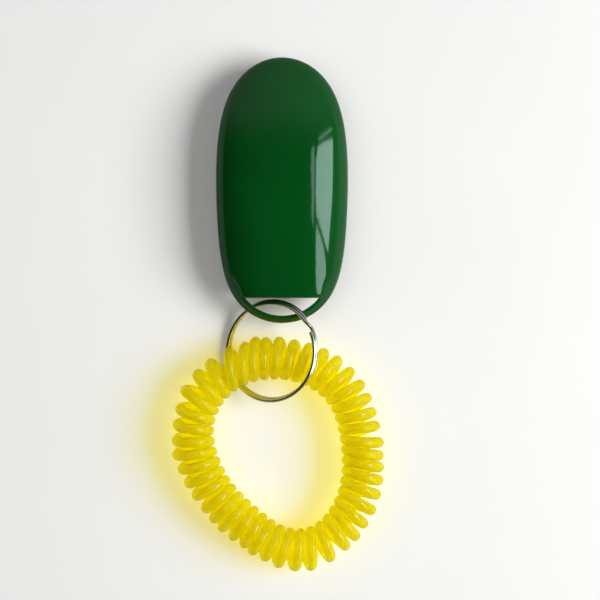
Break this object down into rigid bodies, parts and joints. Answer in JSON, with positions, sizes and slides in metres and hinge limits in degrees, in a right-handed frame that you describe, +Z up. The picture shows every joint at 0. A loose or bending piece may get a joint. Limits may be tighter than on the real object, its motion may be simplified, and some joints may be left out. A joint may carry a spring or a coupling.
{
  "type": "clicker trainer",
  "caption": "Oval pet training clicker: two-shell case with a sprung thumb button over a click strip, a split ring on its lanyard bar and a spiral wrist band.",
  "frame": {"origin": "On the resting surface, under the middle of the whole object's box. The button's rim, the split ring's low side and the wrist band rest on z = 0.", "axes": "+Z up, away from the surface and out through the smooth back of the case. +Y along the case, from the lanyard bar to the case's round end. +X to the right when the smooth back is seen with the case above the band."},
  "size_m": [0.0522, 0.126, 0.0142],
  "materials": {
    "case_green": "gloss",
    "button_white": "satin",
    "spring_steel": "satin",
    "ring_nickel": "polished",
    "coil_yellow": "gloss"
  },
  "bodies": {
    "case": {"back_shell": "case_green", "front_shell": "case_green"},
    "button": {"push_button": "button_white"},
    "strip": {"click_strip": "spring_steel"},
    "ring": {"split_ring": "ring_nickel"},
    "coil": {"wrist_coil": "coil_yellow"}
  },
  "joints": [
    {"name": "button_press", "type": "slide", "parent": "case", "child": "button", "axis": [0, 0, 1], "range_m": [0, 0.0015], "stiffness_N_per_m": 2500, "springref_m": -0.0004},
    {"name": "strip_flex", "type": "hinge", "parent": "case", "child": "strip", "pos_m": [0.00101, 0.01219, 0.0065], "axis": [1, 0, 0], "range_deg": [0, 4.2]},
    {"name": "ring_swing", "type": "hinge", "parent": "case", "child": "ring", "pos_m": [0.00101, -0.00021, 0.00675], "axis": [-1, 0, 0], "range_deg": [-10, 80]},
    {"name": "coil_swing", "type": "hinge", "parent": "ring", "child": "coil", "pos_m": [-0.0011, -0.01266, 0.00523], "axis": [-1, 0, 0], "range_deg": [-90, 90]}
  ],
  "couplings": [
    {"joint": "strip_flex", "follows": "button_press", "rad_per_m": 48.3}
  ]
}
